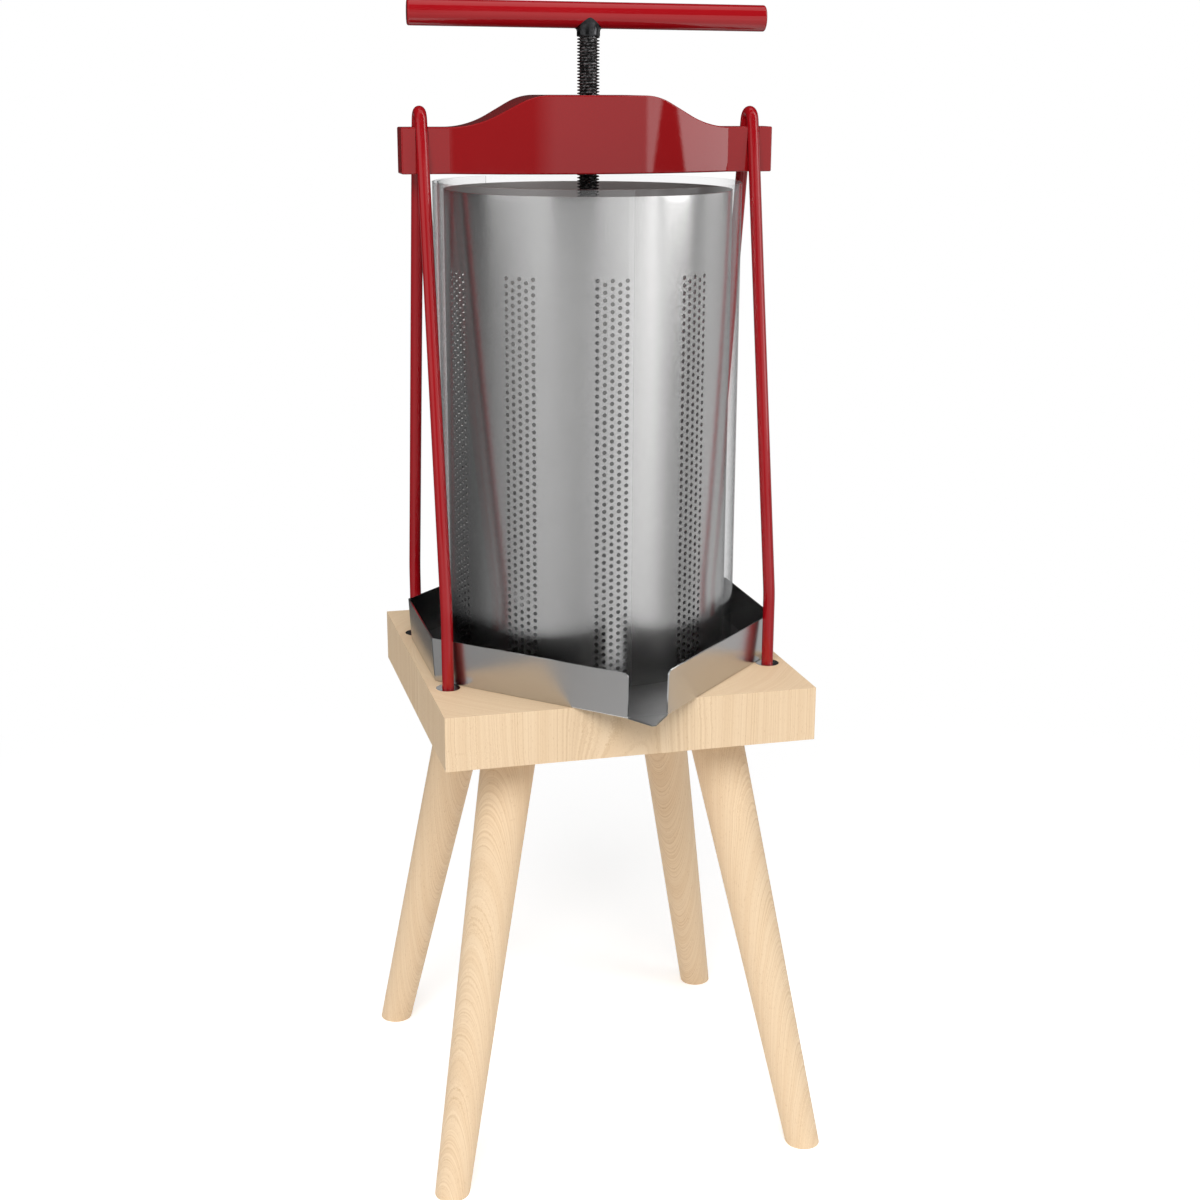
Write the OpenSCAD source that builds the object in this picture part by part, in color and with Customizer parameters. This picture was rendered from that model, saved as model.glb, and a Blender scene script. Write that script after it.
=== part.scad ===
// Fruit press on a four legged wooden stand, with the screw in a yoke between two bent rods.
// Millimetres, Z up. The origin is on the spindle's axis at floor level.
// The spout points to -Y and the handle lies nearly along X.

/* [Stand] */
// height of the seat's top face above the floor
seat_top = 426.5; // [340:0.5:520]
// side of the square seat
seat_side = 313; // [305:0.5:360]
// thickness of the seat
seat_thick = 45.5; // [38:0.5:60]
// distance of a leg's axis from the seat's edges, at the seat's underside
leg_margin = 67.9; // [56:0.1:80]
// splay of a leg's axis along each edge, from the seat's underside to the floor
leg_splay = 69.9; // [40:0.1:92]
// radius of a leg just below its neck
leg_r = 23; // [22:0.1:26]
// radius of a leg at the floor
foot_r = 14.4; // [11:0.1:20]
// radius of the leg's head inside the seat
head_r = 21.5; // [17:0.1:21.8]
// length of the leg's head above the seat's underside, along the leg
head_rise = 26; // [18:0.5:30]
// length of the straight part of the head below the seat
neck_start = 6; // [5:0.1:8]
// length of the cone between the head and the leg's body
neck_len = 9; // [5:0.5:14]
// play between a leg's head and its socket
socket_play = 0.1; // [0.05:0.01:0.3]

/* [Rods] */
// radius of the bent rods
rod_r = 5; // [4:0.1:6]
// distance of each bent rod from the seat's edge, along X
rod_margin = 16.3; // [15:0.1:18.5]
// distance between a rod's lower legs and the tray's corners
rod_gap = 1.9; // [1.5:0.1:8]
// radius of the top bend, on the rod's centre line
bend_r = 8; // [7:0.1:12]
// height of the top bend's centre above the yoke's ends
bend_over = 3.6; // [0:0.1:20]
// height above the seat where the slanted run's line meets the lower leg
kink_low = 62.6; // [50:0.1:80]
// radius of the kink between the lower leg and the slanted run
kink_low_r = 80; // [50:1:120]
// play of the rods in the seat
rod_play = 0.2; // [0.1:0.05:0.5]
// radius of the discs let into the seat round the rods
disc_r = 10; // [8:0.1:12]
// thickness of the discs
disc_thick = 2; // [1:0.1:3]
// radius of the washers under the seat
washer_r = 10.5; // [9:0.1:13]
// thickness of the washers under the seat
washer_thick = 2; // [1.5:0.1:3]
// size of the nuts under the seat, across the flats
nut_flats = 16; // [15:0.5:19]
// height of the nuts
nut_high = 8; // [6:0.5:10]
// play of the nuts on the rods
nut_play = 0.05; // [0.02:0.01:0.1]
// length of rod below the nuts
rod_tail = 3; // [1:0.5:10]

/* [Yoke] */
// height of the yoke's underside above the seat
yoke_rise = 412.2; // [411:0.1:418]
// length of the yoke beyond each rod
yoke_end = 16.8; // [10:0.1:25]
// height of the yoke's ends
lug_high = 36.8; // [30:0.1:37]
// half the depth of the yoke's ends
lug_deep = 10.7; // [8:0.1:12]
// play between the grooves in the yoke's ends and the rods
lug_play = 0.3; // [0.2:0.05:0.6]
// bevel on the top edges of the yoke's ends
lug_bevel = 2.2; // [2:0.1:4]
// height of the yoke at its middle
boss_high = 61.8; // [52:0.1:66]
// half the length of the flat on top of the yoke
boss_flat = 39; // [30:0.5:45]
// half the depth of the yoke at its middle
boss_deep = 36; // [28:0.5:42]
// length of the yoke's straight end on the inner side of each rod
lug_run = 22.2; // [16:0.1:28]
// slope of the yoke's shoulders, in degrees
shoulder_slope = 28; // [24:0.5:32]
// radius of the round above the shoulders
shoulder_r = 50; // [30:1:60]
// radius of the hollow below the shoulders
hollow_r = 82; // [60:1:90]
// radius of the threaded bush in the yoke
bush_r = 15; // [13:0.1:18]
// length of the threaded bush
bush_len = 40; // [30:0.5:45]
// play of the bush in the yoke
bush_play = 0.05; // [0.02:0.01:0.1]
// play of the spindle in the bush
screw_play = 0.05; // [0.03:0.01:0.1]
// play of the spindle in the yoke above the bush
yoke_play = 0.4; // [0.2:0.05:0.6]

/* [Spindle and handle] */
// radius of the spindle over its thread
spindle_r = 9.2; // [8.6:0.1:10]
// radius of the handle bar
handle_r = 10.4; // [10:0.1:12]
// half the handle's length
handle_half = 147; // [120:1:180]
// height of the handle's axis above the seat
handle_rise = 536.4; // [532:0.1:560]
// turn of the handle about the spindle in this pose, in degrees
handle_turn = -5.4; // [-45:0.1:45]
// bevel on the handle's ends
handle_bevel = 1.5; // [0.5:0.1:3]
// radius of the journal at the spindle's foot
journal_r = 7; // [6.5:0.1:7.5]
// radius at the bottom of the journal's groove
groove_r = 5.5; // [4.5:0.1:6]
// length of journal above the groove
journal_neck = 3; // [2:0.1:5]

/* [Press plate] */
// height of the press plate's underside above the seat
plate_rise = 66.5; // [60:0.5:120]
// distance between the press plate's rim and the basket's outer face
plate_gap = 5; // [3:0.1:15]
// thickness of the plate's sheet
plate_sheet = 2.5; // [1.5:0.1:4]
// height of the plate's rim
plate_rim = 12; // [8:0.5:16]
// radius of the hub
hub_r = 23; // [22.5:0.1:28]
// height of the hub
hub_high = 22; // [20:0.5:30]
// thickness of the hub's floor under the spindle
hub_floor = 4; // [3:0.5:6]
// play of the journal in the hub
journal_play = 0.05; // [0.03:0.01:0.1]
// play of the journal's tip and groove, along the spindle
end_play = 0.3; // [0.2:0.05:0.5]
// thickness of the fork that holds the spindle in the hub
fork_thick = 2.4; // [2:0.1:4]
// radius of the fork
fork_r = 22; // [21.5:0.1:22.5]
// play between the fork and the groove
fork_play = 0.3; // [0.2:0.05:0.5]
// distance of the fork's screws from the spindle's axis
screw_place = 16; // [15.8:0.1:16.5]
// radius of the fork's screws
screw_r = 3; // [2.5:0.1:3.2]
// depth of the fork's screws in the hub
screw_deep = 12; // [8:0.5:15]
// size of the screw heads, across the flats
screw_flats = 10; // [8:0.1:10.4]
// height of the screw heads
screw_head = 4; // [3:0.1:5]
// play of the screws in the fork
screw_gap = 0.2; // [0.1:0.05:0.4]

/* [Basket and guard] */
// distance between the basket's outer face and the guard's inner edge
basket_gap = 4.2; // [2.5:0.1:5.5]
// thickness of the basket's sheet
basket_sheet = 1.2; // [0.8:0.1:1.5]
// height of the basket
basket_high = 398.1; // [380:0.1:402]
// radius of the basket's holes
hole_r = 1.75; // [1.2:0.05:2.2]
// number of perforated strips
strips = 10; // [6:1:10]
// middle of the first strip, in degrees from the spout
strip_turn = -5.1; // [-18:0.1:18]
// holes drilled here in each strip's middle column, out of the 55 of the whole pattern
strip_holes = 5; // [3:1:5]
// height of the highest hole above the seat
hole_rise = 335.3; // [320:0.1:350]
// pitch of the holes
hole_pitch = 6.04; // [5:0.02:6.5]
// rows from one hole drilled here to the next
hole_step = 12; // [4:1:12]
// thickness of the guard's film
film = 0.8; // [0.5:0.1:1]
// height of the guard
guard_high = 403.8; // [400:0.1:408]
// distance between the guard's outer edge and the middle of the tray's walls at the floor
guard_gap = 18.8; // [16:0.1:19]
// growth of the guard's radius from half way round to its outer edge
guard_near = 0.4; // [0.1:0.1:0.9]
// growth of the guard's radius from its inner edge to its outer edge
guard_far = 4.9; // [4.4:0.1:5.5]
// place of the guard's outer edge, in degrees from the spout
guard_turn = 1.8; // [-20:0.1:20]
// length of the guard's overlap, in degrees
guard_lap = 150; // [60:7.5:180]

/* [Tray] */
// distance between the tray's rim and the seat's edge
tray_margin = 6.5; // [6:0.1:9]
// lean of the tray's walls, from floor to rim
tray_flare = 2.1; // [1.5:0.1:4]
// height of the tray
tray_high = 38; // [30:0.5:45]
// thickness of the tray's sheet
tray_sheet = 1.2; // [0.8:0.1:2]
// reach of the spout's mouth beyond the tray's rim
spout_reach = 42.5; // [38:0.1:46]
// length of the spout's lip
lip_len = 18.5; // [10:0.5:24]
// half the width of the lip's tip
lip_tip = 3; // [2:0.1:5]
// drop of the lip's tip
lip_drop = 1.3; // [0.5:0.1:3]

/* [Hidden] */
$fn = 32;
seat_base = seat_top - seat_thick;
leg_place = seat_side / 2 - leg_margin;
foot_place = leg_place + leg_splay;
leg_lean = atan((foot_place - leg_place) * sqrt(2) / seat_base);
leg_len = seat_base / cos(leg_lean) + foot_r;
corners = [[-1, -1], [1, -1], [-1, 1], [1, 1]];
tray_top = seat_side / 2 - tray_margin;
tray_foot = tray_top - tray_flare;
mouth = tray_top + spout_reach;
rod_x = seat_side / 2 - rod_margin;
rod_y = tray_top * sqrt(2) - rod_x + (rod_r + rod_gap) * sqrt(2);
yoke_half = rod_x + yoke_end;
belly_half = rod_x - lug_run;
guard_out = tray_foot - guard_gap;
guard_mid = guard_out - guard_near;
guard_in = guard_out - guard_far;
basket_r = guard_in - basket_gap;
plate_r = basket_r - plate_gap;
bend_rise = yoke_rise + lug_high + bend_over;
run_high = bend_rise - kink_low;
kink = atan(rod_y / run_high) - asin(bend_r / norm([rod_y, run_high]));
low_z = seat_top + kink_low - kink_low_r * tan(kink / 2);
bend_z = seat_top + bend_rise;
rod_foot = seat_base - washer_thick - nut_high - rod_tail;
yoke_base = seat_top + yoke_rise;
groove_y = rod_y - (yoke_rise - kink_low) * tan(kink);
belly_r = (belly_half * belly_half + pow(boss_deep - lug_deep, 2)) / (boss_deep - lug_deep) / 2;
fall = boss_high - lug_high - (shoulder_r + hollow_r) * (1 - cos(shoulder_slope));
round_x = boss_flat + shoulder_r * sin(shoulder_slope);
slope_x = round_x + fall / tan(shoulder_slope);
hollow_x = slope_x + hollow_r * sin(shoulder_slope);
arc_steps = 6;
kink_steps = 3;
bend_steps = 12;
rod_sides = 16;
handle_z = seat_top + handle_rise;
plate_base = seat_top + plate_rise;
hub_base = plate_base + plate_sheet;
hub_top = hub_base + hub_high;
tip_z = hub_base + hub_floor + end_play;
groove_base = hub_top - end_play;
groove_top = hub_top + fork_thick + end_play;
shoulder_z = groove_top + journal_neck;
floor_z = seat_top + tray_sheet;
guard_span = 360 + guard_lap;
guard_step = 7.5;

// puts a copy at the foot of each rod
module at_rods() {
    for (c = corners)
        translate([c[0] * rod_x, c[1] * rod_y, 0])
            children();
}

// lays a copy along a leg, from the middle of its top end at the seat's underside
module along_leg(c) {
    translate([c[0] * leg_place, c[1] * leg_place, seat_base])
        rotate([0, 0, atan2(c[1], c[0])])
            rotate([0, -leg_lean, 0])
                children();
}

module seat_board() {
    color([0.93, 0.82, 0.67])
    difference() {
        translate([-seat_side / 2, -seat_side / 2, seat_base])
            cube([seat_side, seat_side, seat_thick]);
        for (c = corners)
            along_leg(c)
                translate([0, 0, -leg_r])
                    cylinder(h = leg_r + head_rise, r = head_r + socket_play);
        at_rods() {
            translate([0, 0, seat_base - rod_tail])
                cylinder(h = seat_thick + rod_tail * 2, r = rod_r + rod_play);
            translate([0, 0, seat_top - disc_thick])
                cylinder(h = disc_thick * 2, r = disc_r + rod_play);
        }
    }
}

module leg(c) {
    color([0.84, 0.70, 0.52])
    difference() {
        along_leg(c)
            rotate_extrude()
                polygon([[0, head_rise], [head_r, head_rise], [head_r, -neck_start],
                    [leg_r, -neck_start - neck_len], [foot_r, -leg_len], [0, -leg_len]]);
        translate([-seat_side, -seat_side, -leg_len])
            cube([seat_side * 2, seat_side * 2, leg_len]);
    }
}

module leg_front_left() {
    leg(corners[0]);
}

module leg_front_right() {
    leg(corners[1]);
}

module leg_back_left() {
    leg(corners[2]);
}

module leg_back_right() {
    leg(corners[3]);
}

// the rod's centre line in the YZ plane, from one nut's end to the other, as y, z
function low_arc(k) = let (a = kink * k / kink_steps)
    [rod_y - kink_low_r * (1 - cos(a)), low_z + kink_low_r * sin(a)];
function bend_arc(k) = let (a = kink + (180 - kink * 2) * k / bend_steps)
    [bend_r * cos(a), bend_z + bend_r * sin(a)];
rod_side = concat([[rod_y, rod_foot]], [for (k = [0:kink_steps]) low_arc(k)]);
side_last = len(rod_side) - 1;
rod_line = concat(rod_side, [for (k = [0:bend_steps]) bend_arc(k)],
    [for (k = [side_last:-1:0]) [-rod_side[k][0], rod_side[k][1]]]);
rod_last = len(rod_line) - 1;

// lean of the piece that follows the rod's k-th point
function lean(k) = let (d = rod_line[k + 1] - rod_line[k]) atan2(max(-d[0], 0), d[1]);

// a point on the rod's skin: at its k-th point, t degrees round, on the mitre between its neighbours
function rod_skin(k, t) =
    let (a = lean(min(k, rod_last - 1)), b = lean(max(k - 1, 0)), m = (a + b) / 2,
        d = rod_r * sin(t) / cos((a - b) / 2))
    [rod_r * cos(t), rod_line[k][0] + d * cos(m), rod_line[k][1] + d * sin(m)];

module stirrup(side) {
    n = rod_sides;
    color([0.69, 0.15, 0.17])
    translate([side * rod_x, 0, 0])
        polyhedron(
            points = [for (k = [0:rod_last]) for (t = [0:n - 1]) rod_skin(k, t * 360 / n)],
            faces = concat([[for (t = [0:n - 1]) t]],
                [[for (t = [n - 1:-1:0]) rod_last * n + t]],
                [for (k = [0:rod_last - 1]) for (t = [0:n - 1]) let (u = (t + 1) % n)
                    [k * n + t, (k + 1) * n + t, (k + 1) * n + u, k * n + u]]));
}

module stirrup_left() {
    stirrup(-1);
}

module stirrup_right() {
    stirrup(1);
}

module rod_discs() {
    color([0.75, 0.75, 0.75])
    at_rods()
        translate([0, 0, seat_top - disc_thick])
            difference() {
                cylinder(h = disc_thick, r = disc_r);
                translate([0, 0, -disc_thick])
                    cylinder(h = disc_thick * 3, r = rod_r + rod_play);
            }
}

module rod_washers() {
    color([0.72, 0.72, 0.72])
    at_rods()
        translate([0, 0, seat_base - washer_thick])
            difference() {
                cylinder(h = washer_thick, r = washer_r);
                translate([0, 0, -washer_thick])
                    cylinder(h = washer_thick * 3, r = rod_r + rod_play);
            }
}

module rod_nuts() {
    color([0.70, 0.70, 0.70])
    at_rods()
        translate([0, 0, seat_base - washer_thick - nut_high])
            difference() {
                cylinder(h = nut_high, r = nut_flats / sqrt(3), $fn = 6);
                translate([0, 0, -nut_high])
                    cylinder(h = nut_high * 3, r = rod_r + nut_play);
            }
}

// side view of the right half of the yoke, from its underside
module shoulder() {
    polygon(concat([[0, 0], [hollow_x, 0], [hollow_x, lug_high]],
        [for (k = [1:arc_steps]) let (a = shoulder_slope * k / arc_steps)
            [hollow_x - hollow_r * sin(a), lug_high + hollow_r * (1 - cos(a))]],
        [for (k = [arc_steps:-1:0]) let (a = shoulder_slope * k / arc_steps)
            [boss_flat + shoulder_r * sin(a), boss_high - shoulder_r * (1 - cos(a))]],
        [[0, boss_high]]));
}

module yoke() {
    color([0.58, 0.16, 0.17])
    difference() {
        union() {
            translate([-yoke_half, 0, yoke_base])
                rotate([90, 0, 90])
                    linear_extrude(height = yoke_half * 2)
                        polygon([[-lug_deep, 0], [lug_deep, 0], [lug_deep, lug_high - lug_bevel],
                            [lug_deep - lug_bevel, lug_high], [lug_bevel - lug_deep, lug_high],
                            [-lug_deep, lug_high - lug_bevel]]);
            intersection() {
                translate([0, 0, yoke_base])
                    linear_extrude(height = boss_high)
                        intersection() {
                            translate([0, belly_r - boss_deep])
                                circle(r = belly_r, $fn = 72);
                            translate([0, boss_deep - belly_r])
                                circle(r = belly_r, $fn = 72);
                        }
                translate([0, boss_deep, yoke_base])
                    rotate([90, 0, 0])
                        linear_extrude(height = boss_deep * 2) {
                            shoulder();
                            mirror([1, 0])
                                shoulder();
                        }
            }
        }
        translate([0, 0, yoke_base - bush_len])
            cylinder(h = bush_len * 2, r = bush_r + bush_play);
        translate([0, 0, yoke_base])
            cylinder(h = boss_high + bush_len, r = spindle_r + yoke_play);
        for (side = [-1, 1], face = [-1, 1])
            translate([side * rod_x, face * groove_y, yoke_base])
                rotate([face * kink, 0, 0])
                    cylinder(h = lug_high * 4, r = rod_r + lug_play, center = true);
    }
}

module yoke_bush() {
    color([0.72, 0.60, 0.36])
    translate([0, 0, yoke_base])
        difference() {
            cylinder(h = bush_len, r = bush_r);
            translate([0, 0, -bush_len])
                cylinder(h = bush_len * 3, r = spindle_r + screw_play);
        }
}

// lays a copy along the handle, about the middle of its axis
module along_handle() {
    translate([0, 0, handle_z])
        rotate([0, 0, handle_turn])
            rotate([0, 90, 0])
                children();
}

module spindle() {
    color([0.10, 0.10, 0.10])
    difference() {
        union() {
            translate([0, 0, tip_z])
                cylinder(h = groove_base - tip_z, r = journal_r);
            translate([0, 0, tip_z])
                cylinder(h = shoulder_z - tip_z, r = groove_r);
            translate([0, 0, groove_top])
                cylinder(h = journal_neck, r = journal_r);
            translate([0, 0, shoulder_z])
                cylinder(h = handle_z - shoulder_z, r = spindle_r);
        }
        along_handle()
            cylinder(h = handle_half, r = handle_r, center = true);
    }
}

module handle_bar() {
    color([0.72, 0.19, 0.19])
    along_handle()
        rotate_extrude()
            polygon([[0, -handle_half], [handle_r - handle_bevel, -handle_half],
                [handle_r, handle_bevel - handle_half], [handle_r, handle_half - handle_bevel],
                [handle_r - handle_bevel, handle_half], [0, handle_half]]);
}

module press_plate() {
    color([0.72, 0.72, 0.72])
    translate([0, 0, plate_base])
        rotate_extrude($fn = 60)
            polygon([[0, 0], [plate_r, 0], [plate_r, plate_rim], [plate_r - plate_sheet, plate_rim],
                [plate_r - plate_sheet, plate_sheet], [0, plate_sheet]]);
}

module plate_hub() {
    color([0.66, 0.66, 0.66])
    difference() {
        translate([0, 0, hub_base])
            cylinder(h = hub_high, r = hub_r);
        translate([0, 0, hub_base + hub_floor])
            cylinder(h = hub_high, r = journal_r + journal_play);
        for (s = [-1, 1])
            translate([s * screw_place, 0, hub_top - screw_deep])
                cylinder(h = screw_deep * 2, r = screw_r);
    }
}

module hub_fork() {
    color([0.76, 0.76, 0.76])
    difference() {
        translate([0, 0, hub_top])
            cylinder(h = fork_thick, r = fork_r);
        translate([0, 0, hub_top - fork_thick])
            cylinder(h = fork_thick * 3, r = groove_r + fork_play);
        translate([-groove_r - fork_play, -fork_r * 2, hub_top - fork_thick])
            cube([(groove_r + fork_play) * 2, fork_r * 2, fork_thick * 3]);
        for (s = [-1, 1])
            translate([s * screw_place, 0, hub_top - fork_thick])
                cylinder(h = fork_thick * 3, r = screw_r + screw_gap);
    }
}

module fork_screws() {
    color([0.70, 0.70, 0.70])
    for (s = [-1, 1])
        translate([s * screw_place, 0, hub_top]) {
            translate([0, 0, -screw_deep])
                cylinder(h = screw_deep + fork_thick, r = screw_r);
            translate([0, 0, fork_thick])
                rotate([0, 0, 30])
                    cylinder(h = screw_head, r = screw_flats / sqrt(3), $fn = 6);
        }
}

module basket() {
    color([0.62, 0.62, 0.61])
    difference() {
        translate([0, 0, floor_z])
            cylinder(h = basket_high, r = basket_r, $fn = 60);
        translate([0, 0, floor_z - basket_high])
            cylinder(h = basket_high * 3, r = basket_r - basket_sheet, $fn = 60);
        for (s = [0:strips - 1])
            rotate([0, 0, strip_turn + s * 360 / strips])
                for (k = [0:strip_holes - 1])
                    translate([0, -basket_r, seat_top + hole_rise - k * hole_step * hole_pitch])
                        rotate([90, 0, 0])
                            cylinder(h = basket_sheet * 6, r = hole_r, center = true, $fn = 13);
    }
}

// middle radius of the guard's film, a degrees on from its outer edge
function guard_r(a) = a < 180 ? guard_out + (guard_mid - guard_out) * a / 180
    : guard_mid + (guard_in - guard_mid) * (a - 180) / (guard_span - 180);

// a point of the guard, off its middle radius by d
function guard_at(a, d) = (guard_r(a) + d) * [sin(guard_turn - a), -cos(guard_turn - a)];

module guard_film() {
    color([0.85, 0.88, 0.90, 0.35])
    translate([0, 0, floor_z])
        linear_extrude(height = guard_high)
            polygon(concat([for (a = [0:guard_step:guard_span]) guard_at(a, film / 2)],
                [for (a = [guard_span:-guard_step:0]) guard_at(a, -film / 2)]));
}

// the tray's outline: half width w, front at f
function outline(w, f) = let (d = w * sqrt(2))
    [[w, d - w], [d - w, w], [w - d, w], [-w, d - w], [-w, w - d], [f - d, -f], [d - f, -f], [w, w - d]];

// a solid between the tray's outline at two heights
module tub(w0, w1, f, z0, z1) {
    n = len(outline(w0, f));
    polyhedron(
        points = concat([for (p = outline(w0, f)) [p[0], p[1], z0]],
            [for (p = outline(w1, f)) [p[0], p[1], z1]]),
        faces = concat([[for (k = [0:n - 1]) k]], [[for (k = [n - 1:-1:0]) n + k]],
            [for (k = [0:n - 1]) [k, n + k, n + (k + 1) % n, (k + 1) % n]]));
}

module tray() {
    flare = (tray_top - tray_foot) / tray_high;
    lip_root = tray_foot * sqrt(2) - mouth;
    color([0.55, 0.55, 0.54]) {
        difference() {
            tub(tray_foot, tray_top, mouth, seat_top, seat_top + tray_high);
            tub(tray_foot - tray_sheet + flare * tray_sheet, tray_top + flare * tray_sheet - tray_sheet,
                mouth + tray_sheet, floor_z, seat_top + tray_high + tray_sheet);
        }
        polyhedron(
            points = [[-lip_root, -mouth, seat_top], [lip_root, -mouth, seat_top],
                [lip_tip, -mouth - lip_len, seat_top - lip_drop],
                [-lip_tip, -mouth - lip_len, seat_top - lip_drop],
                [-lip_root, -mouth, floor_z], [lip_root, -mouth, floor_z],
                [lip_tip, -mouth - lip_len, floor_z - lip_drop],
                [-lip_tip, -mouth - lip_len, floor_z - lip_drop]],
            faces = [[0, 3, 2, 1], [4, 5, 6, 7], [0, 1, 5, 4], [1, 2, 6, 5], [2, 3, 7, 6], [3, 0, 4, 7]]);
    }
}

seat_board();
leg_front_left();
leg_front_right();
leg_back_left();
leg_back_right();
stirrup_left();
stirrup_right();
rod_discs();
rod_washers();
rod_nuts();
yoke();
yoke_bush();
spindle();
handle_bar();
press_plate();
plate_hub();
hub_fork();
fork_screws();
basket();
guard_film();
tray();
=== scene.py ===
# Fruit press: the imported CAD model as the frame, dressed for the photograph.
# Lengths are in metres. MM turns millimetres into metres.
import math

import bmesh
import bpy
from mathutils import Matrix, Vector

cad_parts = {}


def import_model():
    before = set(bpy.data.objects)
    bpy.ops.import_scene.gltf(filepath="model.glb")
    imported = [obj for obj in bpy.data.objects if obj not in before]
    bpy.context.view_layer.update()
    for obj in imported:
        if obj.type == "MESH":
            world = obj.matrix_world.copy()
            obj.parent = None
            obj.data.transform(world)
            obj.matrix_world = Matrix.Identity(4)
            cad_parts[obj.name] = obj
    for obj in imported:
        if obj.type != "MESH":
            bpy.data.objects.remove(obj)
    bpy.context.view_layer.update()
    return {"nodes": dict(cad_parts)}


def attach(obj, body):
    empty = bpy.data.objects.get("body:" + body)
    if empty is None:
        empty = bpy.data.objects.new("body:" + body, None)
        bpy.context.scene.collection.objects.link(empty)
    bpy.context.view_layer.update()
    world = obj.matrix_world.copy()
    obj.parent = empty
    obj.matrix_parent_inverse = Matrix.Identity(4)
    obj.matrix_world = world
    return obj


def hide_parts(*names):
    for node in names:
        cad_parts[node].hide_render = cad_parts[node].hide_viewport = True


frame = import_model()
nodes = frame["nodes"]
MM = 0.001

# Sizes of the part: seat and legs
seat_top, seat_base = 426.5 * MM, 381.0 * MM
leg_place, foot_place = 88.6 * MM, 158.5 * MM
leg_r, foot_r, head_r = 23.0 * MM, 14.4 * MM, 21.5 * MM
head_rise, neck_start = 26.0 * MM, 6.0 * MM

# Bent rods
rod_r, rod_x, rod_y, bend_r = 5.0 * MM, 140.2 * MM, 81.69 * MM, 8.0 * MM
bend_z = seat_top + 452.6 * MM
kink_low, kink_low_r = seat_top + 62.6 * MM, 80.0 * MM
rod_foot = seat_base - 13.0 * MM

# Yoke and bush
yoke_base = seat_top + 412.2 * MM
yoke_half, lug_deep, lug_high = 157.0 * MM, 10.7 * MM, 36.8 * MM
boss_high, boss_flat, boss_deep, belly_half = 61.8 * MM, 39.0 * MM, 36.0 * MM, 118.0 * MM
shoulder_slope, shoulder_r, hollow_r = math.radians(28), 50.0 * MM, 82.0 * MM
groove_r, groove_lean = 5.3 * MM, math.radians(10.68)
bush_r, bush_len, bore_r = 15.05 * MM, 40.0 * MM, 9.6 * MM

# Spindle, handle and hub
spindle_r, thread_pitch = 9.2 * MM, 2.5 * MM
thread_top = seat_top + 520.0 * MM
handle_z = seat_top + 536.4 * MM
handle_r, handle_half, handle_turn = 10.4 * MM, 147.0 * MM, math.radians(-5.4)
plate_base = seat_top + 66.5 * MM
hub_base = plate_base + 2.5 * MM
hub_top = hub_base + 22.0 * MM
journal_r, journal_groove = 7.0 * MM, 5.5 * MM

# Basket, guard and tray
floor_z = seat_top + 1.2 * MM
basket_r, basket_sheet, basket_high = 120.0 * MM, 1.2 * MM, 398.1 * MM
strips, strip_turn, columns, column_step = 10, math.radians(-5.1), 5, math.radians(2.87)
hole_r, hole_pitch, hole_top, hole_rows = 1.75 * MM, 6.04 * MM, seat_top + 335.3 * MM, 55
film, guard_high = 0.8 * MM, 403.8 * MM
guard_out, guard_mid, guard_in = 129.1 * MM, 128.7 * MM, 124.2 * MM
guard_turn, guard_span = math.radians(1.8), math.radians(510)
tray_top, tray_foot, tray_high, tray_sheet = 150.0 * MM, 147.9 * MM, 38.0 * MM, 1.2 * MM
mouth, lip_len, lip_tip, lip_drop = 192.5 * MM, 18.5 * MM, 1.8 * MM, 1.3 * MM

# Sizes that only the look has
neck_r = 28.0 * MM
rod_lean, neck_z, neck_lean = math.radians(10.6), seat_top + 431.0 * MM, math.radians(12.0)
yoke_round = 1.2 * MM
thread_base, thread_root = hub_top + 5.7 * MM, 7.1 * MM
collar_r, handle_tilt, handle_bevel = 9.5 * MM, math.radians(0.5), 1.6 * MM
rim_round, tray_corner = 0.25 * MM, 4.5 * MM

# Light that comes evenly from all round, where the camera doesn't see it as white
ambient = 0.42


# Camera at the photograph's viewing angle
def camera():
    place = Vector((-0.3855, -1.5010, 0.9095))
    yaw, pitch, roll, focal_px, frame_px = 0.2586, 0.2763, 0.0037, 1820.9, 1200
    ahead = Vector((math.sin(yaw) * math.cos(pitch), math.cos(yaw) * math.cos(pitch),
                    -math.sin(pitch)))
    right = Vector((math.cos(yaw), -math.sin(yaw), 0))
    up = right.cross(ahead)
    right, up = (right * math.cos(roll) + up * math.sin(roll),
                 up * math.cos(roll) - right * math.sin(roll))
    data = bpy.data.cameras.new("camera")
    data.sensor_width = 36
    data.lens = data.sensor_width * focal_px / frame_px
    data.clip_start = 0.05
    obj = add("camera", data)
    turn = Matrix((right, up, -ahead)).transposed().to_4x4()
    obj.matrix_world = Matrix.Translation(place) @ turn
    bpy.context.scene.camera = obj


def add(name, data):
    obj = bpy.data.objects.new(name, data)
    bpy.context.scene.collection.objects.link(obj)
    return obj


def lamp(name, place, target, size, watts):
    data = bpy.data.lights.new(name, "AREA")
    data.shape = "RECTANGLE"
    data.size, data.size_y = size
    data.energy = watts
    obj = add(name, data)
    obj.location = place
    obj.rotation_euler = (Vector(target) - Vector(place)).to_track_quat("-Z", "Y").to_euler()
    obj.visible_glossy = False


# Node trees and materials
def grey(level):
    return (level, level, level)


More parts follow.
